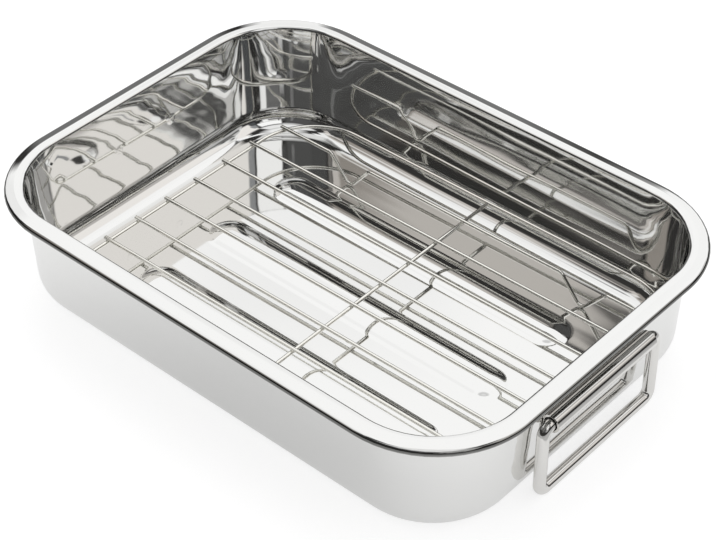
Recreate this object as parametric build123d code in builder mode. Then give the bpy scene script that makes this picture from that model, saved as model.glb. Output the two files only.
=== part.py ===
"""Stainless-steel roasting pan with a wire rack and two swinging bail handles.

Millimetres, +Z up. X runs along the pan, Y across it. The origin is the middle of the pan's
underside. The pan is pressed from one sheet and its rim is rolled under; each end carries a
rolled bracket with a round-rod bail; the rack is made of welded wires and lies loose inside.
"""

import os
from math import cos, radians, sin, sqrt, tan

from build123d import *

os.makedirs("parts", exist_ok=True)

# Pan: one pressed sheet
rim_length = 340
rim_width = 248
rim_corner = 59
rim_flange = 11
pan_depth = 70
pan_sheet = 0.8
wall_draft = 2.2
floor_edge_radius = 15

# Rim: bend out of the wall, flat, sloping outer band, rolled edge
rim_bend = 2
rim_flat = 2.6
rim_slope = 13
rim_slope_radius = 4
curl_radius = 2
curl_turn = 215

# Beads pressed up in the floor
bead_count = 3
bead_pitch = 54.5
bead_length = 210
bead_width = 24
bead_height = 2.3
bead_ease = 5

# Bracket: a plate on the end wall, rolled at its top into a barrel
bracket_sheet = 1.2
bracket_length = 81
bracket_corner = 4
barrel_height = 46
barrel_turn = 335
plate_drop = 13

# Bail: a round rod bent to a closed frame, its ends meeting inside the barrel
rod_diameter = 6.6
rod_clearance = 0.6
rod_bend = 5
rod_end_gap = 1
bail_width = 92
bail_ground_gap = 0.3

# Spot welds of the bracket, seen as dimples in the wall's inner face
weld_spacing = 41
weld_height = 40
weld_radius = 2.2
weld_depth = 0.2

# Rack: a ring, one cross wire and long wires on top; rooms are from the wall and from the ring
wire_diameter = 2.2
weld_sink = 0.2
ring_end_room = 22
ring_side_room = 8.5
ring_corner = 40
long_wires = 8
outer_wire_room = 24.25
wire_overhang = 2
foot_drop = 15.8
foot_spacing = 167.6
foot_leg_slope = 51
foot_bend = 4
foot_gap = 0.3

# Where the loose rack lies in the pan
rack_shift_x = 12.6
rack_shift_y = -2
rack_turn = 0.5

# Sizes that follow from the values above
wall_length = rim_length - 2 * rim_flange
wall_width = rim_width - 2 * rim_flange
wall_corner = rim_corner - rim_flange
half_sheet = pan_sheet / 2
lean = radians(wall_draft)
bend_line = rim_bend - half_sheet
edge_line = floor_edge_radius - half_sheet
bend_fall = bend_line * (1 - sin(lean))
edge_fall = edge_line * (1 - sin(lean))
wall_fall = pan_depth - pan_sheet - bend_fall - edge_fall
floor_inset = (bend_line + edge_line) * cos(lean) + wall_fall * tan(lean)
path_x = wall_length / 2 + rim_bend
path_y = wall_width / 2 + rim_bend
path_corner = wall_corner + rim_bend
curl_line = curl_radius - half_sheet
slope_angle = radians(rim_slope)
slope_turn = rim_slope_radius * sin(slope_angle)
curl_reach = curl_radius - curl_line * sin(slope_angle)
slope_run = rim_flange - rim_bend - rim_flat - slope_turn - curl_reach

floor_half_length = path_x - floor_inset
floor_half_width = path_y - floor_inset
floor_corner = path_corner - floor_inset

bead_radius = ((bead_width / 2) ** 2 + bead_height**2) / (2 * bead_height)
bead_centre = pan_sheet + bead_height - bead_radius
bead_straight = bead_length - bead_width


def wall_outside(height):
    """X of the end wall's outer face at a height above the underside."""
    below_bend = pan_depth - half_sheet - bend_fall - height
    return path_x - bend_line * cos(lean) - below_bend * tan(lean) + half_sheet / cos(lean)


barrel_bore = rod_diameter / 2 + rod_clearance
barrel_line = barrel_bore + bracket_sheet / 2
plate_offset = bracket_sheet / 2 / cos(lean)
barrel_x = wall_outside(barrel_height) + plate_offset + barrel_line / cos(lean)
bail_foot = rod_diameter / 2 + bail_ground_gap

ring_length = 2 * (path_x - ring_end_room)
ring_width = 2 * (path_y - ring_side_room)
wire_pitch = (ring_width - 2 * outer_wire_room) / (long_wires - 1)
wire_radius = wire_diameter / 2
foot_rest = pan_sheet + foot_gap + wire_radius
wire_height = foot_rest + foot_drop
ring_height = wire_height - wire_diameter + weld_sink
rack_plane = Plane(
    origin=(rack_shift_x, rack_shift_y, 0),
    x_dir=(cos(radians(rack_turn)), sin(radians(rack_turn)), 0),
    z_dir=(0, 0, 1),
)

# Plan outline that the pan's section follows, started at the middle of the right-hand end
with BuildLine(Plane.XY.offset(pan_depth)) as rim_path:
    right_half = Line((path_x, 0), (path_x, path_y - path_corner))
    far_right = JernArc(right_half @ 1, right_half % 1, path_corner, 90)
    far_side = Line(far_right @ 1, (path_corner - path_x, path_y))
    far_left = JernArc(far_side @ 1, far_side % 1, path_corner, 90)
    left_end = Line(far_left @ 1, (-path_x, path_corner - path_y))
    near_left = JernArc(left_end @ 1, left_end % 1, path_corner, 90)
    near_side = Line(near_left @ 1, (path_x - path_corner, -path_y))
    near_right = JernArc(near_side @ 1, near_side % 1, path_corner, 90)
    Line(near_right @ 1, (path_x, 0))

# Section through floor edge, wall, rim and rolled edge, along the middle of the sheet
with BuildSketch(Plane.XZ) as pan_section:
    with BuildLine() as section_line:
        bend = JernArc((path_x, pan_depth - half_sheet), (-1, 0), bend_line, 90 - wall_draft)
        wall = PolarLine(bend @ 1, wall_fall / cos(lean), direction=bend % 1)
        JernArc(wall @ 1, wall % 1, edge_line, wall_draft - 90)
        flat = Line((path_x, pan_depth - half_sheet), (path_x + rim_flat, pan_depth - half_sheet))
        ease = JernArc(flat @ 1, (1, 0), rim_slope_radius, -rim_slope)
        band = PolarLine(ease @ 1, slope_run / cos(slope_angle), direction=ease % 1)
        JernArc(band @ 1, band % 1, curl_line, -curl_turn)
    trace(line_width=pan_sheet)

# Beads: the same long dome above and below, one sheet apart
bead_ends = [(-bead_straight / 2, 0, bead_centre), (bead_straight / 2, 0, bead_centre)]
with BuildPart() as bead_top:
    with Locations((0, 0, bead_centre)):
        Cylinder(bead_radius, bead_straight, rotation=(0, 90, 0))
    with Locations(bead_ends):
        Sphere(bead_radius)
    split(bisect_by=Plane.XY.offset(half_sheet), keep=Keep.TOP)
with BuildPart() as bead_under:
    with Locations((0, 0, bead_centre)):
        Cylinder(bead_radius - pan_sheet, bead_straight, rotation=(0, 90, 0))
    with Locations(bead_ends):
        Sphere(bead_radius - pan_sheet)
    split(bisect_by=Plane.XY.offset(-pan_sheet), keep=Keep.TOP)

# Floor plate with its beads, their edges eased into the flat
with BuildPart() as pan_floor:
    with BuildSketch():
        RectangleRounded(2 * floor_half_length, 2 * floor_half_width, floor_corner)
    extrude(amount=pan_sheet)
    with GridLocations(0, bead_pitch, 1, bead_count):
        add(bead_top.part)
    floor_top = pan_floor.faces().filter_by(Plane.XY).sort_by(Axis.Z)[-1]
    fillet(floor_top.inner_wires().edges(), radius=bead_ease)
    with GridLocations(0, bead_pitch, 1, bead_count):
        add(bead_under.part, mode=Mode.SUBTRACT)

# Pan body: the section led round the rim, the floor, the spot welds' dimples
inner_face = wall_outside(weld_height) - pan_sheet / cos(lean)
with BuildPart() as pan_body:
    sweep(pan_section.sketch, path=rim_path.line)
    add(pan_floor.part)
    for side in (-1, 1):
        weld_normal = (side * cos(lean), 0, -sin(lean))
        weld_face = Plane((side * inner_face, 0, weld_height), x_dir=(0, 1, 0), z_dir=weld_normal)
        with BuildSketch(weld_face):
            with GridLocations(weld_spacing, 0, 2, 1):
                Circle(weld_radius)
        extrude(amount=weld_depth, mode=Mode.SUBTRACT)
pan_body.part.label = "pan_body"
export_step(pan_body.part, "parts/pan_body.step")

# Bracket on the right-hand end: a plate up the wall, rolled outward at its top into a barrel
roll_start = (barrel_x - barrel_line * cos(lean), barrel_height + barrel_line * sin(lean))
plate_plane = Plane(
    origin=(roll_start[0], 0, roll_start[1]),
    x_dir=(0, 1, 0),
    z_dir=(cos(lean), 0, -sin(lean)),
)
with BuildPart() as bracket_right:
    with BuildSketch(plate_plane) as plate_outline:
        Rectangle(bracket_length, plate_drop, align=(Align.CENTER, Align.MAX))
        fillet(plate_outline.vertices().group_by(Axis.Y)[0], radius=bracket_corner)
    extrude(amount=bracket_sheet / 2, both=True)
    with BuildSketch(Plane.XZ):
        with BuildLine():
            JernArc(roll_start, (sin(lean), cos(lean)), barrel_line, -barrel_turn)
        trace(line_width=bracket_sheet)
    extrude(amount=bracket_length / 2, both=True)
bracket_right.part.label = "bracket_right"
export_step(bracket_right.part, "parts/bracket_right.step")

# Bracket on the left-hand end, its mirror image
with BuildPart() as bracket_left:
    add(mirror(bracket_right.part, about=Plane.YZ))
bracket_left.part.label = "bracket_left"
export_step(bracket_left.part, "parts/bracket_left.step")

# Bail on the right-hand end, hanging
half_bail = bail_width / 2
half_gap = rod_end_gap / 2
with BuildPart() as bail_right:
    with BuildLine(Plane.YZ.offset(barrel_x)) as bail_line:
        FilletPolyline(
            (half_gap, barrel_height),
            (half_bail, barrel_height),
            (half_bail, bail_foot),
            (-half_bail, bail_foot),
            (-half_bail, barrel_height),
            (-half_gap, barrel_height),
            radius=rod_bend,
        )
    with BuildSketch(Plane(bail_line.line @ 0, z_dir=bail_line.line % 0)):
        Circle(rod_diameter / 2)
    sweep()
bail_right.part.label = "bail_right"
export_step(bail_right.part, "parts/bail_right.step")

# Bail on the left-hand end, its mirror image
with BuildPart() as bail_left:
    add(mirror(bail_right.part, about=Plane.YZ))
bail_left.part.label = "bail_left"
export_step(bail_left.part, "parts/bail_left.step")

# Rack ring
with BuildPart() as rack_ring:
    with BuildLine(rack_plane.offset(ring_height)) as ring_line:
        ring_x = ring_length / 2
        ring_y = ring_width / 2
        near = Line((0, -ring_y), (ring_x - ring_corner, -ring_y))
        turn_1 = JernArc(near @ 1, near % 1, ring_corner, 90)
        right = Line(turn_1 @ 1, (ring_x, ring_y - ring_corner))
        turn_2 = JernArc(right @ 1, right % 1, ring_corner, 90)
        far = Line(turn_2 @ 1, (ring_corner - ring_x, ring_y))
        turn_3 = JernArc(far @ 1, far % 1, ring_corner, 90)
        left = Line(turn_3 @ 1, (-ring_x, ring_corner - ring_y))
        turn_4 = JernArc(left @ 1, left % 1, ring_corner, 90)
        Line(turn_4 @ 1, (0, -ring_y))
    with BuildSketch(Plane(ring_line.line @ 0, z_dir=ring_line.line % 0)):
        Circle(wire_radius)
    sweep()
rack_ring.part.label = "rack_ring"
export_step(rack_ring.part, "parts/rack_ring.step")


def ring_reach(offset):
    """X of the ring's wire at a distance across from the rack's centre line."""
    past_corner = max(abs(offset) - ring_width / 2 + ring_corner, 0)
    return ring_length / 2 - ring_corner + sqrt(ring_corner**2 - past_corner**2)


# Cross wire between the ring's two long sides, under the long wires
with BuildPart() as rack_cross_wire:
    cross_length = ring_width - wire_diameter + 2 * weld_sink
    with Locations(rack_plane.offset(ring_height).location):
        Cylinder(wire_radius, cross_length, rotation=(90, 0, 0))
rack_cross_wire.part.label = "rack_cross_wire"
export_step(rack_cross_wire.part, "parts/rack_cross_wire.step")

# Inner long wires, straight
across = [wire_pitch * (number - (long_wires - 1) / 2) for number in range(long_wires)]
for number, offset in enumerate(across[1:-1], start=1):
    with BuildPart() as rack_wire:
        with Locations(rack_plane.location):
            with Locations((0, offset, wire_height)):
                Cylinder(wire_radius, 2 * (ring_reach(offset) + wire_overhang), rotation=(0, 90, 0))
    rack_wire.part.label = f"rack_wire_{number}"
    export_step(rack_wire.part, f"parts/rack_wire_{number}.step")

# Outer long wires, each bent down into two pointed feet that stand on the pan's floor
leg_angle = radians(foot_leg_slope)
foot_point = wire_height - foot_drop - foot_bend * (1 / cos(leg_angle) - 1)
foot_reach = (wire_height - foot_point) / tan(leg_angle)
for name, offset in (("rack_foot_wire_near", across[0]), ("rack_foot_wire_far", across[-1])):
    end_x = ring_reach(offset) + wire_overhang
    foot_x = foot_spacing / 2
    with BuildPart() as foot_wire:
        with BuildLine(rack_plane) as foot_line:
            FilletPolyline(
                (-end_x, offset, wire_height),
                (-foot_x - foot_reach, offset, wire_height),
                (-foot_x, offset, foot_point),
                (-foot_x + foot_reach, offset, wire_height),
                (foot_x - foot_reach, offset, wire_height),
                (foot_x, offset, foot_point),
                (foot_x + foot_reach, offset, wire_height),
                (end_x, offset, wire_height),
                radius=foot_bend,
            )
        with BuildSketch(Plane(foot_line.line @ 0, z_dir=foot_line.line % 0)):
            Circle(wire_radius)
        sweep()
    foot_wire.part.label = name
    export_step(foot_wire.part, f"parts/{name}.step")
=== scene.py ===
# %% [markdown]
# # A polished roasting pan with a wire rack
#
# A roasting pan is one sheet of stainless steel, pressed into a tray and rolled at its rim, with
# two bails that swing in rolled brackets and a loose rack of welded wires. There is hardly any
# colour in it: everything that is seen is a mirror image of the room. So the lesson is about
# clean, smooth surfaces and about the room that they mirror.

import math

import bmesh
import bpy
import numpy as np
from mathutils import Matrix, Vector


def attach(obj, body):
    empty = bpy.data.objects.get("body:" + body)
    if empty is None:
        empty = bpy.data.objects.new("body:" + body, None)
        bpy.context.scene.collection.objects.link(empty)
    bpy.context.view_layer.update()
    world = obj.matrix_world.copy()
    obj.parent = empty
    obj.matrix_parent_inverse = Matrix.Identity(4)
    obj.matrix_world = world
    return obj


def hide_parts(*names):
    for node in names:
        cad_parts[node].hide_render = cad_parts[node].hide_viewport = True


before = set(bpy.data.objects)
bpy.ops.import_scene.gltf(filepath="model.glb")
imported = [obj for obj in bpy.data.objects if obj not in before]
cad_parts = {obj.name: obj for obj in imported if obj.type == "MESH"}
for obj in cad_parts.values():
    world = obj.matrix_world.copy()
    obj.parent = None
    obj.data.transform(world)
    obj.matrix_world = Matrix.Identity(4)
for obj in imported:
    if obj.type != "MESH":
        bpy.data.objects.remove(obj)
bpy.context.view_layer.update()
MM = 0.001

# %% [markdown]
# ## Sizes
#
# The pieces below are drawn afresh, because a mirror shows every facet of a coarse mesh. They
# repeat the sizes of the real solids, in millimetres, so they sit exactly where those do.

# %% Sizes of the pan, in millimetres
RIM_LENGTH, RIM_WIDTH, RIM_CORNER, RIM_FLANGE = 340.0, 248.0, 59.0, 11.0
DEPTH, SHEET, LEAN = 70.0, 0.8, math.radians(2.2)
EDGE_RADIUS, BEND_RADIUS, RIM_FLAT = 15.0, 2.0, 2.6
SLOPE, SLOPE_RADIUS, CURL_RADIUS, CURL_TURN = math.radians(13), 4.0, 2.0, math.radians(215)
HALF = SHEET / 2
path_x = RIM_LENGTH / 2 - RIM_FLANGE + BEND_RADIUS
path_y = RIM_WIDTH / 2 - RIM_FLANGE + BEND_RADIUS
path_corner = RIM_CORNER - RIM_FLANGE + BEND_RADIUS
bend_line, edge_line, curl_line = BEND_RADIUS - HALF, EDGE_RADIUS - HALF, CURL_RADIUS - HALF
bend_fall = bend_line * (1 - math.sin(LEAN))
edge_fall = edge_line * (1 - math.sin(LEAN))
wall_fall = DEPTH - SHEET - bend_fall - edge_fall
floor_inset = (bend_line + edge_line) * math.cos(LEAN) + wall_fall * math.tan(LEAN)
floor_x, floor_y, floor_r = path_x - floor_inset, path_y - floor_inset, path_corner - floor_inset


def wall_outside(height):
    """X of the end wall's outer face at a height above the table."""
    below = DEPTH - HALF - bend_fall - height
    return path_x - bend_line * math.cos(LEAN) - below * math.tan(LEAN) + HALF / math.cos(LEAN)


print("floor, flat part:", round(2 * floor_x, 1), "x", round(2 * floor_y, 1), "mm")

# %% Sizes of the handles and the rack, in millimetres
BARREL_HEIGHT, BARREL_LENGTH, BARREL_BORE, BRACKET_SHEET = 46.0, 81.0, 3.9, 1.2
BARREL_TURN, PLATE_DROP, PLATE_CORNER = math.radians(335), 13.0, 4.0
ROD_RADIUS, ROD_BEND, BAIL_WIDTH, BAIL_FOOT, ROD_GAP = 3.3, 5.0, 92.0, 3.6, 1.0
barrel_line = BARREL_BORE + BRACKET_SHEET / 2
barrel_x = wall_outside(BARREL_HEIGHT) + (BRACKET_SHEET / 2 + barrel_line) / math.cos(LEAN)
WIRE, RING_LENGTH, RING_WIDTH, RING_CORNER = 1.1, 278.0, 213.0, 40.0
WIRES, WIRE_PITCH, WIRE_OVERHANG, SINK = 8, 23.5, 2.0, 0.2
FOOT_DROP, FOOT_SPACING, FOOT_SLOPE, FOOT_BEND = 15.8, 167.6, math.radians(51), 4.0
RACK_SHIFT, RACK_TURN = (12.6, -2.0), math.radians(0.5)
WELD_SPACING, WELD_HEIGHT = 41.0, 40.0
wire_z = SHEET + 0.3 + WIRE + FOOT_DROP
ring_z = wire_z - 2 * WIRE + SINK
weld_x = wall_outside(WELD_HEIGHT) - SHEET / math.cos(LEAN)
print("barrel axis at x", round(barrel_x, 2), "mm; long wires at z", round(wire_z, 2), "mm")


# %% A helper that turns points and faces into a piece of the object
def make_piece(name, verts_mm, faces, material, smooth=True):
    """A mesh object at the origin, its place in its mesh, from points in millimetres."""
    mesh = bpy.data.meshes.new(name)
    mesh.from_pydata((np.asarray(verts_mm, float) * MM).tolist(), [], faces)
    mesh.polygons.foreach_set("use_smooth", [smooth] * len(mesh.polygons))
    mesh.materials.append(material)
    piece = bpy.data.objects.new(name, mesh)
    bpy.context.scene.collection.objects.link(piece)
    return piece


def outward(piece):
    """Makes every face of a closed mesh point outwards, after merging doubled points."""
    work = bmesh.new()
    work.from_mesh(piece.data)
    bmesh.ops.remove_doubles(work, verts=work.verts, dist=1e-7)
    bmesh.ops.recalc_face_normals(work, faces=work.faces)
    work.to_mesh(piece.data)
    work.free()
    print(piece.name, len(piece.data.polygons), "faces")
    return piece


# %% [markdown]
# ## The steel
#
# Polished stainless steel is a metal shader with a warm, light grey base colour and very little
# roughness. Two things keep it from looking like a computer's mirror. The press leaves the walls
# slightly wavy, most of all up and down, so straight reflections wobble: a slow noise in the bump
# does that. The polishing wheel leaves fine scratches that blur highlights along one way: a noise
# stretched on one axis varies the roughness. Both read Object coordinates, so they stay put when
# a piece moves.

# %% Helpers for node materials
def add_node(tree, kind, place=(0, 0), **values):
    """A node with its properties or its input sockets set by name."""
    node = tree.nodes.new(kind)
    node.location = place
    for key, value in values.items():
        if hasattr(node, key):
            setattr(node, key, value)
        else:
            node.inputs[key.replace("_", " ")].default_value = value
    return node


def noise_at(tree, scales, detail, place):
    """Noise on Object coordinates (metres), stretched by three scales per metre."""
    where = add_node(tree, "ShaderNodeTexCoord", (place[0] - 400, place[1]))
    mapping = add_node(tree, "ShaderNodeMapping", (place[0] - 200, place[1]))
    mapping.inputs["Scale"].default_value = scales
    noise = add_node(tree, "ShaderNodeTexNoise", place)
    noise.inputs["Scale"].default_value = 1.0
    noise.inputs["Detail"].default_value = detail
    tree.links.new(where.outputs["Object"], mapping.inputs["Vector"])
    tree.links.new(mapping.outputs["Vector"], noise.inputs["Vector"])
    return noise


def steel(name, colour, rough_low, rough_high, waves, wave_height, grain):
    """Polished steel; waves and grain are noise scales per metre, the waves' height is in mm."""
    material = bpy.data.materials.new(name)
    material.use_nodes = True
    tree = material.node_tree
    shader = tree.nodes["Principled BSDF"]
    shader.inputs["Metallic"].default_value = 1.0
    shader.inputs["Base Color"].default_value = (*colour, 1)
    wave_noise = noise_at(tree, waves, 1.0, (-700, -300))
    grain_noise = noise_at(tree, grain, 3.0, (-700, -600))
    rough = add_node(tree, "ShaderNodeMapRange", (-300, 100), To_Min=rough_low, To_Max=rough_high)
    tree.links.new(grain_noise.outputs["Fac"], rough.inputs["Value"])
    tree.links.new(rough.outputs["Result"], shader.inputs["Roughness"])
    bump = add_node(tree, "ShaderNodeBump", (-300, -300), Strength=1.0, Distance=wave_height * MM)
    tree.links.new(wave_noise.outputs["Fac"], bump.inputs["Height"])
    tree.links.new(bump.outputs["Normal"], shader.inputs["Normal"])
    print("material", name)
    return material


# %% Finishes: pan sheet, handle rod, rack wire
SHEET_COLOUR, HANDLE_COLOUR, WIRE_COLOUR = (0.86, 0.86, 0.85), (0.80, 0.79, 0.77), (0.92, 0.91, 0.86)
EVEN_GRAIN, BRUSHED_GRAIN = (900, 900, 900), (900, 90, 300)
sheet_steel = steel("polished_sheet", SHEET_COLOUR, 0.03, 0.06, (9, 9, 55), 0.4, BRUSHED_GRAIN)
handle_steel = steel("polished_handle", HANDLE_COLOUR, 0.05, 0.1, (60, 60, 60), 0.03, EVEN_GRAIN)
wire_steel = steel("bright_wire", WIRE_COLOUR, 0.05, 0.1, (70, 70, 70), 0.02, EVEN_GRAIN)

# %% [markdown]
# ### A painted shade on the rim, and two dimples
#
# The rolled edge and the underside of the rim get a darker base colour: a painted shade, standing
# in for the shadow and the dark reflections there. The mesh says where, in a point attribute. And
# the end wall swells a little at the two welds of the hidden bracket, which a bump round two spots shows.

# %% A painted shade on the rim
def paint_rim_shade(material, colour, dark):
    """Mixes in a darker base colour, a painted shade, where the mesh's attribute marks the rim."""
    tree = material.node_tree
    where = add_node(tree, "ShaderNodeAttribute", (-700, 400), attribute_name="painted_shade")
    mix = add_node(tree, "ShaderNodeMix", (-300, 400), data_type="RGBA")
    mix.inputs[6].default_value = (*colour, 1)
    mix.inputs[7].default_value = (*dark, 1)
    tree.links.new(where.outputs["Fac"], mix.inputs["Factor"])
    tree.links.new(mix.outputs[2], tree.nodes["Principled BSDF"].inputs["Base Color"])


# The darker colour is painted shade on the rolled edge and under the rim.
paint_rim_shade(sheet_steel, SHEET_COLOUR, (0.3, 0.3, 0.29))
print("dull rim mixed into", sheet_steel.name)

# %% Shallow dimples where the left bracket is welded on
DIMPLE_RADIUS, DIMPLE_HEIGHT = 4.5, 0.15


def add_dimples(material, centre_mm, radius_mm, height_mm):
    """Bulges the normals round two spots, at centre_mm and at its mirror image across XZ."""
    tree = material.node_tree
    where = add_node(tree, "ShaderNodeTexCoord", (-1300, -900))
    split = add_node(tree, "ShaderNodeSeparateXYZ", (-1100, -900))
    across = add_node(tree, "ShaderNodeMath", (-900, -1000), operation="ABSOLUTE")
    place = add_node(tree, "ShaderNodeCombineXYZ", (-700, -900))
    away = add_node(tree, "ShaderNodeVectorMath", (-500, -900), operation="DISTANCE")
    away.inputs[1].default_value = [v * MM for v in centre_mm]
    rise = add_node(
        tree,
        "ShaderNodeMapRange",
        (-300, -900),
        interpolation_type="SMOOTHERSTEP",
        From_Min=0.0,
        From_Max=radius_mm * MM,
        To_Min=1.0,
        To_Max=0.0,
    )
    bump = add_node(tree, "ShaderNodeBump", (-100, -700), Strength=1.0, Distance=height_mm * MM)
    shader = tree.nodes["Principled BSDF"]
    before = shader.inputs["Normal"].links[0].from_socket
    link = tree.links.new
    link(where.outputs["Object"], split.inputs[0])
    link(split.outputs["X"], place.inputs["X"])
    link(split.outputs["Y"], across.inputs[0])
    link(across.outputs[0], place.inputs["Y"])
    link(split.outputs["Z"], place.inputs["Z"])
    link(place.outputs[0], away.inputs[0])
    link(away.outputs["Value"], rise.inputs["Value"])
    link(rise.outputs["Result"], bump.inputs["Height"])
    link(before, bump.inputs["Normal"])
    link(bump.outputs["Normal"], shader.inputs["Normal"])


add_dimples(
    sheet_steel, (-weld_x, WELD_SPACING / 2, WELD_HEIGHT), DIMPLE_RADIUS, DIMPLE_HEIGHT
)
print("dimples", 2 * DIMPLE_RADIUS, "mm across")

# %% [markdown]
# ## The pan's section
#
# A pressed pan is one section led round a rounded rectangle: floor edge, wall, bend, flat,
# sloping band and rolled edge. The section is worked out along the middle of the sheet, each
# point with the direction in which the sheet's outer face lies. The same list then gives both
# faces of the sheet, half a thickness to each side.

# %% Section points along the middle of the sheet: (offset from the floor's edge, height, normal)
def arc(centre, radius, start, end, steps, side):
    """Points on an arc with the outer face's direction; side is +1 if it points away from the centre."""
    out = []
    for k in range(steps + 1):
        a = start + (end - start) * k / steps
        point = (centre[0] + radius * math.cos(a), centre[1] + radius * math.sin(a))
        out.append((*point, side * math.cos(a), side * math.sin(a)))
    return out


def straight(start, end, steps, normal):
    """Points inside a straight run, without its two ends."""
    return [
        (
            start[0] + (end[0] - start[0]) * k / steps,
            start[1] + (end[1] - start[1]) * k / steps,
            *normal,
        )
        for k in range(1, steps)
    ]


bend_centre = (floor_inset, DEPTH - HALF - bend_line)
floor_edge = arc((0, HALF + edge_line), edge_line, -math.pi / 2, -LEAN, 20, 1)
bend = arc(bend_centre, bend_line, math.pi - LEAN, math.pi / 2, 8, -1)
wall_run = straight(floor_edge[-1][:2], bend[0][:2], 8, (math.cos(LEAN), -math.sin(LEAN)))
ease_centre = (floor_inset + RIM_FLAT, DEPTH - HALF - SLOPE_RADIUS)
ease = arc(ease_centre, SLOPE_RADIUS, math.pi / 2, math.pi / 2 - SLOPE, 4, -1)
curl_reach = CURL_RADIUS - curl_line * math.sin(SLOPE)
slope_run = RIM_FLANGE - BEND_RADIUS - RIM_FLAT - SLOPE_RADIUS * math.sin(SLOPE) - curl_reach
band_end = (ease[-1][0] + slope_run, ease[-1][1] - slope_run * math.tan(SLOPE))
curl_centre = (
    band_end[0] - curl_line * math.sin(SLOPE),
    band_end[1] - curl_line * math.cos(SLOPE),
)
curl = arc(curl_centre, curl_line, math.pi / 2 - SLOPE, math.pi / 2 - SLOPE - CURL_TURN, 18, -1)
band_run = straight(ease[-1][:2], band_end, 3, (-math.sin(SLOPE), -math.cos(SLOPE)))
section = floor_edge + wall_run + bend + ease + band_run + curl
print("section:", len(section), "points; outer edge at", round(floor_x + curl_centre[0] + CURL_RADIUS, 2))

# %% [markdown]
# ## Beads in the floor
#
# Three long beads are pressed up in the floor to keep it stiff. Each is a dome around a straight
# line: its height depends only on the distance from that line, and a small concave radius leads
# it into the flat. A height function is enough, and the same one, drawn one sheet smaller, gives
# the hollow underneath.

# %% Height of the floor's two faces
BEAD_PITCH, BEAD_LENGTH, BEAD_WIDTH, BEAD_HEIGHT, BEAD_EASE = 54.5, 210.0, 24.0, 2.3, 5.0
bead_radius = ((BEAD_WIDTH / 2) ** 2 + BEAD_HEIGHT**2) / (2 * BEAD_HEIGHT)
bead_drop = bead_radius - BEAD_HEIGHT
bead_half_line = (BEAD_LENGTH - BEAD_WIDTH) / 2


def bead_height(x, y, radius, ease_radius):
    """Height above the flat of a bead's face, for a dome of that radius on the common centre."""
    nearest = min((-BEAD_PITCH, 0.0, BEAD_PITCH), key=lambda line: abs(y - line))
    d = math.hypot(max(abs(x) - bead_half_line, 0), y - nearest)
    reach = math.sqrt((radius + ease_radius) ** 2 - (bead_drop + ease_radius) ** 2)
    touch = reach * radius / (radius + ease_radius)
    if d < touch:
        return math.sqrt(radius**2 - d**2) - bead_drop
    if d < reach:
        return ease_radius - math.sqrt(ease_radius**2 - (reach - d) ** 2)
    return 0.0


print("bead height at its middle:", round(bead_height(0, 0, bead_radius, BEAD_EASE), 2), "mm")


# %% [markdown]
# ## The pan's mesh
#
# The floor is a grid of rows and columns. Rows are close together where a bead rises and wide
# apart on the flat. Beyond the straight part of the ends each row is as long as the rounded
# corner allows, and the rows' ends and the outer columns' ends are the points from which the
# section starts. So floor and walls share their points, and the whole sheet is one closed skin
# of quads with no seam for the light to catch on.

# %% Rows and columns of the floor
def spaced(stops):
    """Numbers from list of (end, step) pairs, starting at 0."""
    out, at = [0.0], 0.0
    for end, step in stops:
        count = max(1, round((end - at) / step))
        out += [at + (end - at) * k / count for k in range(1, count + 1)]
        at = end
    return out


corner_y = floor_y - floor_r
half_rows = spaced([(16, 1.0), (38, 5.0), (corner_y, 1.0)])
corner_angles = [math.asin(k / floor_r) for k in (1.2, 2.4, 3.6, 4.8, 6.2)]
corner_angles += [math.radians(a) for a in (14.5, 18, 22, 25, 30, 36, 42, 48, 54, 60, 66, 72, 78, 84, 90)]
half_columns = spaced([(86, 5.7), (110, 1.1), (floor_x, 4.4)])
rows = [(y, 0.0) for y in half_rows]
rows += [(corner_y + floor_r * math.sin(a), a) for a in corner_angles]
rows = [(-y, -a) for y, a in reversed(rows[1:])] + rows
columns = [-x / floor_x for x in reversed(half_columns[1:])] + [x / floor_x for x in half_columns]
print(len(rows), "rows,", len(columns), "columns")


# %% Floor grid, then the section round its edge
def row_half_length(angle):
    return floor_x - floor_r + floor_r * math.cos(angle)


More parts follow.
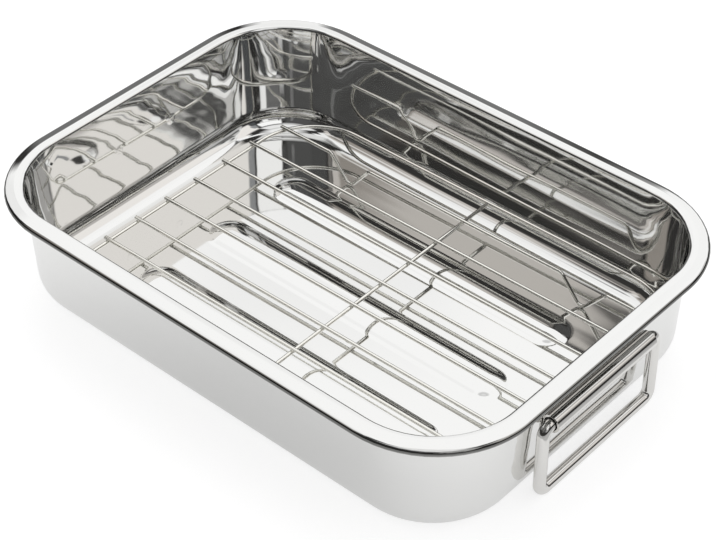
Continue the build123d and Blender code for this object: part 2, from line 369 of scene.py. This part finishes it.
def pan_skin():
    """Points and faces of the closed sheet: upper face, rolled edge, under face."""
    verts, faces = [], []
    grids = {}
    for face_name, flat_z, radius, ease_radius in (
        ("upper", SHEET, bead_radius, BEAD_EASE),
        ("under", 0.0, bead_radius - SHEET, BEAD_EASE + SHEET),
    ):
        grid = []
        for y, angle in rows:
            reach = row_half_length(angle)
            line = []
            for u in columns:
                x = u * reach
                line.append(len(verts))
                verts.append((x, y, flat_z + bead_height(x, y, radius, ease_radius)))
            grid.append(line)
        grids[face_name] = grid
    for face_name, flip in (("upper", False), ("under", True)):
        grid = grids[face_name]
        for j in range(len(rows) - 1):
            for i in range(len(columns) - 1):
                quad = [grid[j][i], grid[j][i + 1], grid[j + 1][i + 1], grid[j + 1][i]]
                faces.append(quad[::-1] if flip else quad)
    last_row, last_column = len(rows) - 1, len(columns) - 1
    edge = [(j, last_column) for j in range(last_row)]
    edge += [(last_row, i) for i in range(last_column, 0, -1)]
    edge += [(j, 0) for j in range(last_row, 0, -1)]
    edge += [(0, i) for i in range(last_column)]
    rings = {"upper": [[grids["upper"][j][i] for j, i in edge]]}
    rings["under"] = [[grids["under"][j][i] for j, i in edge]]
    normals = []
    for j, i in edge:
        y, angle = rows[j]
        if i in (0, last_column):
            sign = 1 if i else -1
            normals.append((sign * math.cos(angle), math.sin(angle)))
        else:
            normals.append((0.0, 1.0 if j else -1.0))
    for face_name, sign in (("upper", -1), ("under", 1)):
        for offset, height, nx, nz in section[1:]:
            out, up = offset + sign * HALF * nx, height + sign * HALF * nz
            ring = []
            for (j, i), (ax, ay) in zip(edge, normals):
                y, angle = rows[j]
                x = columns[i] * row_half_length(angle)
                ring.append(len(verts))
                verts.append((x + ax * out, y + ay * out, up))
            rings[face_name].append(ring)
    loop = rings["upper"] + rings["under"][::-1]
    count = len(edge)
    for inner, outer in zip(loop, loop[1:]):
        for k in range(count):
            faces.append([inner[k], outer[k], outer[(k + 1) % count], inner[(k + 1) % count]])
    return verts, faces


# Where the rim's painted shade lies: a band along the rolled edge, and the rim's underside.
SHADE_WIDTH, SHADE_FADE, UNDER_RIM = 1.2, 0.45, DEPTH - 8


def mark_rim_shade(piece):
    """Stores 1 on the points that get the painted shade, round the rolled edge and under the rim, 0 on
    the rest.
    """
    share = []
    for vertex in piece.data.vertices:
        x = max(abs(vertex.co.x) / MM - RIM_LENGTH / 2 + RIM_CORNER, 0)
        y = max(abs(vertex.co.y) / MM - RIM_WIDTH / 2 + RIM_CORNER, 0)
        inside = RIM_CORNER - math.hypot(x, y)
        under = vertex.co.z > UNDER_RIM * MM and vertex.normal.z < -0.3
        share.append(1.0 if under else min(max((SHADE_WIDTH - inside) / SHADE_FADE, 0), 1))
    painted_shade = piece.data.attributes.new("painted_shade", "FLOAT", "POINT")
    painted_shade.data.foreach_set("value", share)
    print("dull points at the rim:", sum(value > 0 for value in share))


pan_shell = outward(make_piece("pan_shell", *pan_skin(), sheet_steel))
mark_rim_shade(pan_shell)
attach(pan_shell, "pan")
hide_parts("pan_body")

# %% [markdown]
# ## Rods and wires
#
# Bails and rack are all round wire that follows a path, so one Geometry Nodes tree makes them
# all: it takes a line of corner points, rounds the corners, and leads a circle along it. Its
# sizes are named inputs. The result is turned into a plain mesh, and the modifier is dropped.

# %% A node tree that leads round wire along a path
def socket_id(tree, name):
    for item in tree.interface.items_tree:
        if item.item_type == "SOCKET" and item.in_out == "INPUT" and item.name == name:
            return item.identifier
    raise KeyError(name)


def new_tree(name, inputs):
    """An empty geometry tree with named inputs; each is (name, socket kind, default)."""
    tree = bpy.data.node_groups.new(name, "GeometryNodeTree")
    tree.interface.new_socket("Geometry", in_out="INPUT", socket_type="NodeSocketGeometry")
    for label, kind, default in inputs:
        socket = tree.interface.new_socket(label, in_out="INPUT", socket_type=kind)
        if default is not None:
            socket.default_value = default
    tree.interface.new_socket("Geometry", in_out="OUTPUT", socket_type="NodeSocketGeometry")
    return tree, tree.nodes.new("NodeGroupInput"), tree.nodes.new("NodeGroupOutput")


def finish_tree(tree, start, result, source):
    """Ends a tree as every one here ends: smooth, real geometry with its material."""
    smooth = tree.nodes.new("GeometryNodeSetShadeSmooth")
    real = tree.nodes.new("GeometryNodeRealizeInstances")
    paint = tree.nodes.new("GeometryNodeSetMaterial")
    tree.links.new(source, real.inputs["Geometry"])
    tree.links.new(real.outputs[0], smooth.inputs[0])
    tree.links.new(smooth.outputs[0], paint.inputs["Geometry"])
    tree.links.new(start.outputs["Material"], paint.inputs["Material"])
    tree.links.new(paint.outputs[0], result.inputs[0])


wire_tree, start, result = new_tree(
    "wire_along_path",
    [
        ("Wire Radius", "NodeSocketFloat", 0.001),
        ("Bend Radius", "NodeSocketFloat", 0.004),
        ("Bend Steps", "NodeSocketInt", 14),
        ("Sides", "NodeSocketInt", 20),
        ("Material", "NodeSocketMaterial", None),
    ],
)
fillet = wire_tree.nodes.new("GeometryNodeFilletCurve")
fillet.mode = "POLY"
circle = wire_tree.nodes.new("GeometryNodeCurvePrimitiveCircle")
sweep = wire_tree.nodes.new("GeometryNodeCurveToMesh")
sweep.inputs["Fill Caps"].default_value = True
links = wire_tree.links
links.new(start.outputs["Geometry"], fillet.inputs["Curve"])
links.new(start.outputs["Bend Radius"], fillet.inputs["Radius"])
links.new(start.outputs["Bend Steps"], fillet.inputs["Count"])
links.new(start.outputs["Wire Radius"], circle.inputs["Radius"])
links.new(start.outputs["Sides"], circle.inputs["Resolution"])
links.new(fillet.outputs["Curve"], sweep.inputs["Curve"])
links.new(circle.outputs["Curve"], sweep.inputs["Profile Curve"])
finish_tree(wire_tree, start, result, sweep.outputs["Mesh"])
print("tree:", wire_tree.name)


# %% Running a tree on an object and keeping the plain mesh
def run_tree(host, tree, values, name):
    """Evaluates a geometry tree on host and returns its result as a plain mesh object."""
    modifier = host.modifiers.new("tree", "NODES")
    modifier.node_group = tree
    for label, value in values.items():
        modifier[socket_id(tree, label)] = value
    bpy.context.view_layer.update()
    graph = bpy.context.evaluated_depsgraph_get()
    mesh = bpy.data.meshes.new_from_object(host.evaluated_get(graph), depsgraph=graph)
    host.modifiers.remove(modifier)
    bpy.data.objects.remove(host)
    mesh.name = name
    piece = bpy.data.objects.new(name, mesh)
    bpy.context.scene.collection.objects.link(piece)
    return piece


def path_object(points_mm, closed=False):
    """A curve object through corner points, as a host for the wire tree."""
    curve = bpy.data.curves.new("path", "CURVE")
    curve.dimensions = "3D"
    spline = curve.splines.new("POLY")
    spline.points.add(len(points_mm) - 1)
    for point, place in zip(spline.points, points_mm):
        point.co = (*(v * MM for v in place), 1)
    spline.use_cyclic_u = closed
    host = bpy.data.objects.new("path", curve)
    bpy.context.scene.collection.objects.link(host)
    return host


def wire_piece(name, points_mm, radius, bend, material, closed=False, sides=20, steps=14):
    values = {
        "Wire Radius": radius * MM,
        "Bend Radius": bend * MM,
        "Bend Steps": steps,
        "Sides": sides,
        "Material": material,
    }
    return outward(run_tree(path_object(points_mm, closed), wire_tree, values, name))


# %% [markdown]
# ## Bails
#
# Each bail is a 6.6 mm rod bent to a closed frame whose ends meet inside the barrel of its
# bracket. It hangs down beside the end wall. The same corner points, mirrored, make the other.

# %% Bails
def bail_points(side):
    x, y, gap = side * barrel_x, BAIL_WIDTH / 2, ROD_GAP / 2
    top, foot = BARREL_HEIGHT, BAIL_FOOT
    return [(x, gap, top), (x, y, top), (x, y, foot), (x, -y, foot), (x, -y, top), (x, -gap, top)]


for side, hand in ((1, "right"), (-1, "left")):
    rod = wire_piece(
        f"{hand}_bail_rod", bail_points(side), ROD_RADIUS, ROD_BEND, handle_steel, sides=40, steps=20
    )
    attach(rod, f"{hand}_bail")
    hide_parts(f"bail_{hand}")

# %% [markdown]
# ## Brackets
#
# The bracket is a strip of sheet, spot-welded low on the wall and rolled at its top into the
# barrel. Its section is again a list of points with normals; here it is led straight along Y.
# The open ends of the barrel show the sheet's thickness, so the section is closed into a band.

# %% Brackets
def bracket_mesh(side):
    """Closed band: plate, then the roll; straight along Y, with the plate's lower corners rounded."""
    c, s = math.cos(LEAN), math.sin(LEAN)
    roll_x, roll_z = barrel_x - barrel_line * c, BARREL_HEIGHT + barrel_line * s
    line = [(roll_x - d * s, roll_z - d * c, c, -s, d) for d in np.linspace(PLATE_DROP, 0, 14)[:-1]]
    for a in np.linspace(0, BARREL_TURN, 61):
        angle = math.pi - LEAN - a
        nx, nz = math.cos(angle), math.sin(angle)
        line.append((barrel_x + barrel_line * nx, BARREL_HEIGHT + barrel_line * nz, -nx, -nz, 0))
    verts, faces = [], []
    half_t, half_l = BRACKET_SHEET / 2, BARREL_LENGTH / 2
    shares = np.linspace(-1, 1, 25)
    for x, z, nx, nz, down in line:
        inset = 0.0
        rise = down - (PLATE_DROP - PLATE_CORNER)
        if rise > 0:
            inset = PLATE_CORNER - math.sqrt(max(PLATE_CORNER**2 - rise**2, 0))
        for sign in (1, -1):
            for share in shares:
                y = share * (half_l - inset)
                verts.append((side * (x + sign * half_t * nx), y, z + sign * half_t * nz))
    n = len(shares)
    for k in range(len(line) - 1):
        a, b = k * 2 * n, (k + 1) * 2 * n
        for i in range(n - 1):
            faces.append([a + i, a + i + 1, b + i + 1, b + i])
            faces.append([a + n + i, b + n + i, b + n + i + 1, a + n + i + 1])
        for i in (0, n - 1):
            faces.append([a + i, b + i, b + n + i, a + n + i])
    for a in (0, (len(line) - 1) * 2 * n):
        for i in range(n - 1):
            faces.append([a + i, a + i + 1, a + n + i + 1, a + n + i])
    return verts, faces


def sharpen(piece, degrees=40):
    """Keeps the crisp edges of cut sheet while the rest stays smooth."""
    work = bmesh.new()
    work.from_mesh(piece.data)
    for edge in work.edges:
        if edge.is_manifold and edge.calc_face_angle(0) > math.radians(degrees):
            edge.smooth = False
    work.to_mesh(piece.data)
    work.free()


for side, hand in ((1, "right"), (-1, "left")):
    strip = outward(make_piece(f"{hand}_bracket_strip", *bracket_mesh(side), handle_steel))
    sharpen(strip)
    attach(strip, "pan")
    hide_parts(f"bracket_{hand}")


# %% [markdown]
# ## The rack
#
# The rack is a ring with eight long wires laid over it and one cross wire below them. The inner
# six are alike, so a second tree copies one line at the pitch and sweeps all copies at once. The
# outer two are bent down into pointed feet, and go through the wire tree like the ring does.

# %% The rack's own place in the pan
def in_rack(u, v, z):
    """A point given along and across the rack, in the pan's frame, in millimetres."""
    c, s = math.cos(RACK_TURN), math.sin(RACK_TURN)
    return (RACK_SHIFT[0] + u * c - v * s, RACK_SHIFT[1] + u * s + v * c, z)


def ring_reach(v):
    """How far along the rack its ring reaches at a distance across it."""
    past = max(abs(v) - RING_WIDTH / 2 + RING_CORNER, 0)
    return RING_LENGTH / 2 - RING_CORNER + math.sqrt(RING_CORNER**2 - past**2)


def seat(piece, nodes):
    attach(piece, "rack")
    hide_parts(*nodes)


half_u, half_v = RING_LENGTH / 2, RING_WIDTH / 2
ring_points = [(0, -half_v), (half_u, -half_v), (half_u, half_v), (-half_u, half_v), (-half_u, -half_v)]
ring = wire_piece(
    "rack_ring_wire",
    [in_rack(u, v, ring_z) for u, v in ring_points],
    WIRE,
    RING_CORNER,
    wire_steel,
    closed=True,
    steps=40,
)
seat(ring, ["rack_ring"])

# %% Cross wire and the two wires with feet
cross_half = half_v - WIRE + SINK
cross = wire_piece(
    "rack_cross_bar", [in_rack(0, v, ring_z) for v in (-cross_half, cross_half)], WIRE, 0, wire_steel
)
seat(cross, ["rack_cross_wire"])
foot_point = wire_z - FOOT_DROP - FOOT_BEND * (1 / math.cos(FOOT_SLOPE) - 1)
foot_reach = (wire_z - foot_point) / math.tan(FOOT_SLOPE)
offsets = [WIRE_PITCH * (k - (WIRES - 1) / 2) for k in range(WIRES)]
for where, v in (("near", offsets[0]), ("far", offsets[-1])):
    end = ring_reach(v) + WIRE_OVERHANG
    half_gap = FOOT_SPACING / 2
    stops = [(half_gap - foot_reach, wire_z), (half_gap, foot_point), (half_gap + foot_reach, wire_z)]
    stops.append((end, wire_z))
    line = [(-u, z) for u, z in reversed(stops)] + stops
    points = [in_rack(u, v, z) for u, z in line]
    foot_wire = wire_piece(f"rack_{where}_foot_bar", points, WIRE, FOOT_BEND, wire_steel, steps=10)
    seat(foot_wire, [f"rack_foot_wire_{where}"])

# %% A node tree that repeats one straight wire
rows_tree, start, result = new_tree(
    "row_of_wires",
    [
        ("Count", "NodeSocketInt", 6),
        ("Pitch", "NodeSocketVector", (0.0, 0.0235, 0.0)),
        ("Wire Radius", "NodeSocketFloat", 0.001),
        ("Sides", "NodeSocketInt", 20),
        ("Material", "NodeSocketMaterial", None),
    ],
)
places = rows_tree.nodes.new("GeometryNodeMeshLine")
copies = rows_tree.nodes.new("GeometryNodeInstanceOnPoints")
lines = rows_tree.nodes.new("GeometryNodeRealizeInstances")
circle = rows_tree.nodes.new("GeometryNodeCurvePrimitiveCircle")
sweep = rows_tree.nodes.new("GeometryNodeCurveToMesh")
sweep.inputs["Fill Caps"].default_value = True
links = rows_tree.links
links.new(start.outputs["Count"], places.inputs["Count"])
links.new(start.outputs["Pitch"], places.inputs["Offset"])
links.new(places.outputs["Mesh"], copies.inputs["Points"])
links.new(start.outputs["Geometry"], copies.inputs["Instance"])
links.new(copies.outputs["Instances"], lines.inputs["Geometry"])
links.new(lines.outputs[0], sweep.inputs["Curve"])
links.new(start.outputs["Wire Radius"], circle.inputs["Radius"])
links.new(start.outputs["Sides"], circle.inputs["Resolution"])
links.new(circle.outputs["Curve"], sweep.inputs["Profile Curve"])
finish_tree(rows_tree, start, result, sweep.outputs["Mesh"])

# %% The six straight long wires
end = half_u + WIRE_OVERHANG
first = [in_rack(u, offsets[1], wire_z) for u in (-end, end)]
step = [(b - a) * MM for a, b in zip(in_rack(0, 0, 0), in_rack(0, WIRE_PITCH, 0))]
values = {"Count": WIRES - 2, "Pitch": step, "Wire Radius": WIRE * MM, "Sides": 20}
values["Material"] = wire_steel
long_bars = outward(run_tree(path_object(first), rows_tree, values, "rack_long_bars"))
seat(long_bars, [f"rack_wire_{k}" for k in range(1, WIRES - 1)])

# %% [markdown]
# ## Welds
#
# Where two wires cross, resistance welding squeezes them together and leaves a small nugget.
# Where the bracket is welded to the wall, the electrode leaves a round dent inside the pan.
# Both are one small shape on many points, so a third tree puts an instance on each point.

# %% A node tree that sets one small shape on every point
spots_tree, start, result = new_tree(
    "shape_on_points",
    [("Shape", "NodeSocketObject", None), ("Material", "NodeSocketMaterial", None)],
)
shape = spots_tree.nodes.new("GeometryNodeObjectInfo")
turn = spots_tree.nodes.new("GeometryNodeInputNamedAttribute")
turn.data_type = "FLOAT_VECTOR"
turn.inputs["Name"].default_value = "turn"
spots = spots_tree.nodes.new("GeometryNodeInstanceOnPoints")
links = spots_tree.links
links.new(start.outputs["Shape"], shape.inputs["Object"])
links.new(start.outputs["Geometry"], spots.inputs["Points"])
links.new(shape.outputs["Geometry"], spots.inputs["Instance"])
links.new(turn.outputs["Attribute"], spots.inputs["Rotation"])
finish_tree(spots_tree, start, result, spots.outputs["Instances"])


def set_on_points(name, shape_mesh, places_mm, turns, material):
    """Puts a copy of shape_mesh on each place, turned, and returns one plain piece."""
    seed = bpy.data.objects.new("seed", shape_mesh)
    bpy.context.scene.collection.objects.link(seed)
    mesh = bpy.data.meshes.new("places")
    mesh.from_pydata([[v * MM for v in p] for p in places_mm], [], [])
    attribute = mesh.attributes.new("turn", "FLOAT_VECTOR", "POINT")
    attribute.data.foreach_set("vector", [v for t in turns for v in t])
    host = bpy.data.objects.new("places", mesh)
    bpy.context.scene.collection.objects.link(host)
    piece = run_tree(host, spots_tree, {"Shape": seed, "Material": material}, name)
    bpy.data.objects.remove(seed)
    return outward(piece)


# %% Weld nuggets of the rack
def nugget_mesh(size_mm, segments=12):
    """A flattened ball with the given half sizes."""
    work = bmesh.new()
    bmesh.ops.create_uvsphere(work, u_segments=segments, v_segments=segments // 2 + 2, radius=1)
    bmesh.ops.scale(work, vec=Vector(size_mm) * MM, verts=work.verts)
    mesh = bpy.data.meshes.new("nugget")
    work.to_mesh(mesh)
    work.free()
    return mesh


touch_z = (wire_z + ring_z) / 2
nuggets = [in_rack(sign * ring_reach(v), v, touch_z) for v in offsets for sign in (-1, 1)]
nuggets += [in_rack(0, v, touch_z) for v in offsets]
nuggets += [in_rack(0, sign * (half_v - WIRE), ring_z) for sign in (-1, 1)]
rack_welds = set_on_points(
    "rack_welds", nugget_mesh((1.15, 1.15, 0.75)), nuggets, [(0, 0, RACK_TURN)] * len(nuggets), wire_steel
)
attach(rack_welds, "rack")
print(len(nuggets), "nuggets")


# %% Spot-weld marks inside the end walls
def mark_mesh():
    """A shallow ring-shaped lip with a dent in its middle, about 5 mm across."""
    profile = [(2.6, -0.05), (2.4, 0.01), (2.2, 0.03), (2.0, 0.03), (1.8, 0.01), (1.2, 0.01)]
    steps = 28
    verts, faces = [], []
    for radius, height in profile:
        for k in range(steps):
            a = 2 * math.pi * k / steps
            verts.append((radius * math.cos(a) * MM, radius * math.sin(a) * MM, height * MM))
    for ring_no in range(len(profile) - 1):
        a, b = ring_no * steps, (ring_no + 1) * steps
        for k in range(steps):
            m = (k + 1) % steps
            faces.append([a + k, a + m, b + m, b + k])
    last = (len(profile) - 1) * steps
    faces.append([last + k for k in range(steps)])
    faces.append([steps - 1 - k for k in range(steps)])
    mesh = bpy.data.meshes.new("mark")
    mesh.from_pydata(verts, [], faces)
    return mesh


marks, turns = [], []
for side in (1, -1):
    for v in (-WELD_SPACING / 2, WELD_SPACING / 2):
        marks.append((side * weld_x, v, WELD_HEIGHT))
        turns.append((0, -side * (math.pi / 2 - LEAN), 0))
weld_marks = set_on_points("wall_weld_marks", mark_mesh(), marks, turns, sheet_steel)
sharpen(weld_marks, 2)
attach(weld_marks, "pan")

# %% [markdown]
# ## Floor, light and room
#
# Polished steel needs a room to mirror. A photographer builds one from soft boxes: large, evenly
# bright panels in a dim studio. The world here is such a studio, painted by direction: each soft
# box is a patch of compass direction and height with a soft edge. Only reflections see it. The
# camera and plain, matt surfaces see white, so the background stays clean.
#
# The table is pale and keeps a soft shadow. In reflections it is a sheet of paper a little larger
# than the pan, somewhat darker close to the pan's front, a painted shadow of the pan, with a
# darker room beyond its edge. That edge is what draws the dark line along the rolled rim.

# %% The table under the pan
PAPER_X, PAPER_Y, PAPER_EDGE, PAST_PAPER = 0.203, 0.156, 0.030, 0.2
MIDDLE_OF_FRONT, FRONT_NEAR, FRONT_FAR = (0.03, -0.14, 0), 0.02, 0.2
FRONT_LEVEL, SIDE_LEVEL, SEEN_LEVEL = 0.38, 0.52, 0.7


def table():
    """Pale to the eye and the lamps; in the steel it is a sheet of paper with dark beyond it."""
    mesh = bpy.data.meshes.new("table_top")
    reach = 6.0
    corners = [(-reach, -reach, 0), (reach, -reach, 0), (reach, reach, 0), (-reach, reach, 0)]
    mesh.from_pydata(corners, [], [[0, 1, 2, 3]])
    top = bpy.data.objects.new("table_top", mesh)
    bpy.context.scene.collection.objects.link(top)
    top.location = (0, 0, -0.0001)
    material = bpy.data.materials.new("pale_table")
    material.use_nodes = True
    tree = material.node_tree
    tree.nodes.clear()
    link = tree.links.new

    def change(source, start, end, before, after, place):
        """A smooth change from one value before start to another after end."""
        node = add_node(
            tree,
            "ShaderNodeMapRange",
            place,
            interpolation_type="SMOOTHSTEP",
            From_Min=start,
            From_Max=end,
            To_Min=before,
            To_Max=after,
        )
        link(source, node.inputs["Value"])
        return node.outputs["Result"]

    def times(a, b, place):
        node = add_node(tree, "ShaderNodeMath", place, operation="MULTIPLY")
        for socket, value in zip(node.inputs, (a, b)):
            if isinstance(value, float):
                socket.default_value = value
            else:
                link(value, socket)
        return node.outputs[0]

    where = add_node(tree, "ShaderNodeTexCoord", (-1500, 200))
    away = add_node(tree, "ShaderNodeVectorMath", (-1300, 400), operation="DISTANCE")
    away.inputs[1].default_value = MIDDLE_OF_FRONT
    link(where.outputs["Object"], away.inputs[0])
    # Painted shadow: as the steel mirrors it, the table is darker close to the pan's front.
    shade = change(away.outputs["Value"], FRONT_NEAR, FRONT_FAR, FRONT_LEVEL, SIDE_LEVEL, (-1100, 400))
    either_side = add_node(tree, "ShaderNodeVectorMath", (-1300, 200), operation="ABSOLUTE")
    link(where.outputs["Object"], either_side.inputs[0])
    split = add_node(tree, "ShaderNodeSeparateXYZ", (-1200, 200))
    link(either_side.outputs[0], split.inputs[0])
    paper_x = change(split.outputs["X"], PAPER_X, PAPER_X + PAPER_EDGE, 1.0, PAST_PAPER, (-1000, 200))
    paper_y = change(split.outputs["Y"], PAPER_Y, PAPER_Y + PAPER_EDGE, 1.0, PAST_PAPER, (-1000, 0))
    rays = add_node(tree, "ShaderNodeLightPath", (-1000, -300))
    paper = times(shade, times(paper_x, paper_y, (-800, 100)), (-600, 200))
    mirrored = times(paper, rays.outputs["Is Glossy Ray"], (-450, 0))
    seen = times(rays.outputs["Is Camera Ray"], SEEN_LEVEL, (-600, -200))
    level = add_node(tree, "ShaderNodeMath", (-300, -100), operation="ADD")
    link(mirrored, level.inputs[0])
    link(seen, level.inputs[1])
    paint = add_node(tree, "ShaderNodeBsdfDiffuse", (-300, 100))
    paint.inputs["Color"].default_value = (0.4, 0.4, 0.4, 1)
    glow = add_node(tree, "ShaderNodeEmission", (-100, -100))
    link(level.outputs[0], glow.inputs["Strength"])
    both = add_node(tree, "ShaderNodeAddShader", (100, 0))
    link(paint.outputs[0], both.inputs[0])
    link(glow.outputs[0], both.inputs[1])
    out = add_node(tree, "ShaderNodeOutputMaterial", (300, 0))
    link(both.outputs[0], out.inputs["Surface"])
    mesh.materials.append(material)
    return top


table_top = table()


# %% A studio of soft boxes, by compass direction
def studio(dim, boxes):
    """World for reflections. boxes: (compass, height, half width, half height, edge, colour).

    Angles are in degrees; compass 0 is +Y and 90 is +X. A later box covers an earlier one.
    """
    world = bpy.data.worlds.new("studio")
    bpy.context.scene.world = world
    world.use_nodes = True
    tree = world.node_tree
    tree.nodes.clear()

    def step(operation, a, b=None, clamp=False):
        node = add_node(tree, "ShaderNodeMath", operation=operation)
        node.use_clamp = clamp
        for socket, value in zip(node.inputs, (a, b)):
            if isinstance(value, (int, float)):
                socket.default_value = value
            elif value is not None:
                tree.links.new(value, socket)
        return node.outputs[0]

    def within(angle, half, edge):
        """1 inside a half width, falling softly to 0 across the edge."""
        inside = step("SUBTRACT", math.radians(half), step("ABSOLUTE", angle))
        return step("ADD", step("DIVIDE", inside, math.radians(edge)), 0.5, clamp=True)

    where = add_node(tree, "ShaderNodeTexCoord")
    split = add_node(tree, "ShaderNodeSeparateXYZ")
    tree.links.new(where.outputs["Generated"], split.inputs[0])
    compass = step("ARCTAN2", split.outputs["X"], split.outputs["Y"])
    height = step("ARCSINE", split.outputs["Z"])
    colour = None
    for at, up, half_turn, half_rise, edge, shade in boxes:
        turned = step("WRAP", step("SUBTRACT", compass, math.radians(at)), math.pi)
        turned.node.inputs[2].default_value = -math.pi
        across = within(turned, half_turn, edge)
        along = within(step("SUBTRACT", height, math.radians(up)), half_rise, edge)
        mix = add_node(tree, "ShaderNodeMix", data_type="RGBA")
        tree.links.new(step("MULTIPLY", across, along), mix.inputs["Factor"])
        mix.inputs[6].default_value = (*dim, 1)
        mix.inputs[7].default_value = (*shade, 1)
        if colour:
            tree.links.new(colour, mix.inputs[6])
        colour = mix.outputs[2]
    room = add_node(tree, "ShaderNodeBackground")
    tree.links.new(colour, room.inputs["Color"])
    white = add_node(tree, "ShaderNodeBackground")
    white.inputs["Color"].default_value = (1, 1, 1, 1)
    rays = add_node(tree, "ShaderNodeLightPath")
    mix = add_node(tree, "ShaderNodeMixShader")
    out = add_node(tree, "ShaderNodeOutputWorld")
    tree.links.new(rays.outputs["Is Glossy Ray"], mix.inputs[0])
    tree.links.new(white.outputs[0], mix.inputs[1])
    tree.links.new(room.outputs[0], mix.inputs[2])
    tree.links.new(mix.outputs[0], out.inputs["Surface"])
    print("studio with", len(boxes), "soft boxes")


def grey(level, warmth=0.0):
    return (level, level * (1 - warmth / 2), level * (1 - warmth))


studio(
    grey(0.035, 0.06),
    [
        (0, 90, 180, 14, 10, grey(0.95)),
        (-30, 50, 57, 26, 4, grey(1.06)),
        (-78, 30, 9, 14, 4, grey(0.95)),
        (-15, 32, 10, 18, 4, grey(1.04)),
        (-43, 20, 5, 22, 3, grey(0.98)),
        (-57, 14, 5, 14, 3, grey(0.18)),
        (-33, 13, 5, 11, 3, grey(0.2)),
        (30, 56, 12, 9, 4, grey(1.04)),
        (60, 43, 24, 17, 5, grey(0.93, 0.06)),
        (55, 24, 13, 5, 4, grey(0.5, 0.08)),
        (31, 41, 4, 5, 3, grey(0.55, 0.04)),
        (17, 34, 16, 3, 3, grey(0.42, 0.04)),
        (84, 46, 5, 7, 3, grey(0.3, -0.04)),
        (87, 31, 5, 7, 3, grey(0.08, -0.08)),
        (113, 47, 20, 9, 3, grey(1.08)),
        (117, 35, 17, 3, 2, grey(0.7, 0.02)),
        (122, 29, 10, 3, 2, grey(0.16)),
        (109, 30, 4, 7, 2, grey(1.0)),
        (136, 28, 3, 4, 2, grey(0.6)),
        (129, 36, 1, 4, 1, grey(0.05)),
        (136, 36, 3, 6, 2, grey(0.08)),
        (117, 23, 12, 4, 3, grey(0.6)),
        (161, 40, 21, 14, 6, grey(0.09)),
        (150, 34, 2, 8, 2, grey(0.2)),
        (-167, 40, 12, 12, 6, grey(0.08)),
        (-149, 41, 3, 6, 3, grey(0.2, 0.1)),
        (-127, 40, 14, 7, 4, grey(0.32, 0.16)),
        (-116, 49, 12, 5, 3, grey(0.46, 0.16)),
        (-98, 60, 20, 8, 4, grey(1.0)),
        (-122, 57, 13, 4, 3, grey(0.95)),
        (-133, 48, 5, 5, 3, grey(0.8, 0.06)),
        (-141, 43, 4, 5, 2, grey(0.6, 0.1)),
        (-125, 46, 4, 3, 3, grey(0.22, 0.1)),
        (158, 57, 24, 3, 4, grey(0.5)),
        (150, 68, 66, 8, 5, grey(0.9)),
    ],
)


# %% One large soft lamp, no brighter than the soft boxes
def soft_lamp(name, place, aim, size, watts):
    data = bpy.data.lights.new(name, "AREA")
    data.shape = "RECTANGLE"
    data.size, data.size_y = size
    data.energy = watts
    lamp = bpy.data.objects.new(name, data)
    bpy.context.scene.collection.objects.link(lamp)
    lamp.location = place
    lamp.rotation_euler = (Vector(aim) - Vector(place)).to_track_quat("-Z", "Y").to_euler()
    lamp.visible_glossy = False
    return lamp


soft_lamp("top_light", (-0.7, 0.9, 1.7), (0, 0, 0), (1.6, 1.2), 6.5)

# %% [markdown]
# ## The camera
#
# The photograph was matched by its rim, its rack and its outline: the camera looks down at 40
# degrees from the pan's near right corner, from about a metre, through a 100 mm lens.

# %% Camera
AZIMUTH, ELEVATION, ROLL = math.radians(41.675), math.radians(40.019), math.radians(-0.268)
DISTANCE, TARGET, FOCAL_PX = 1004.6, (37.8, -36.9, DEPTH), 1992.05
back = Vector(
    (
        math.sin(AZIMUTH) * math.cos(ELEVATION),
        -math.cos(AZIMUTH) * math.cos(ELEVATION),
        math.sin(ELEVATION),
    )
)
right = Vector((math.cos(AZIMUTH), math.sin(AZIMUTH), 0))
up = back.cross(right)
right, up = (
    math.cos(ROLL) * right + math.sin(ROLL) * up,
    math.cos(ROLL) * up - math.sin(ROLL) * right,
)
camera_data = bpy.data.cameras.new("camera")
camera = bpy.data.objects.new("camera", camera_data)
bpy.context.scene.collection.objects.link(camera)
turn = Matrix((right, up, back)).transposed().to_4x4()
camera.matrix_world = Matrix.Translation((Vector(TARGET) + back * DISTANCE) * MM) @ turn
camera_data.sensor_width = 36
camera_data.lens = FOCAL_PX / 716 * 36
camera_data.clip_start, camera_data.clip_end = 0.05, 50
bpy.context.scene.camera = camera
bpy.context.scene.view_settings.view_transform = "Standard"
print("lens", round(camera_data.lens, 2), "mm")
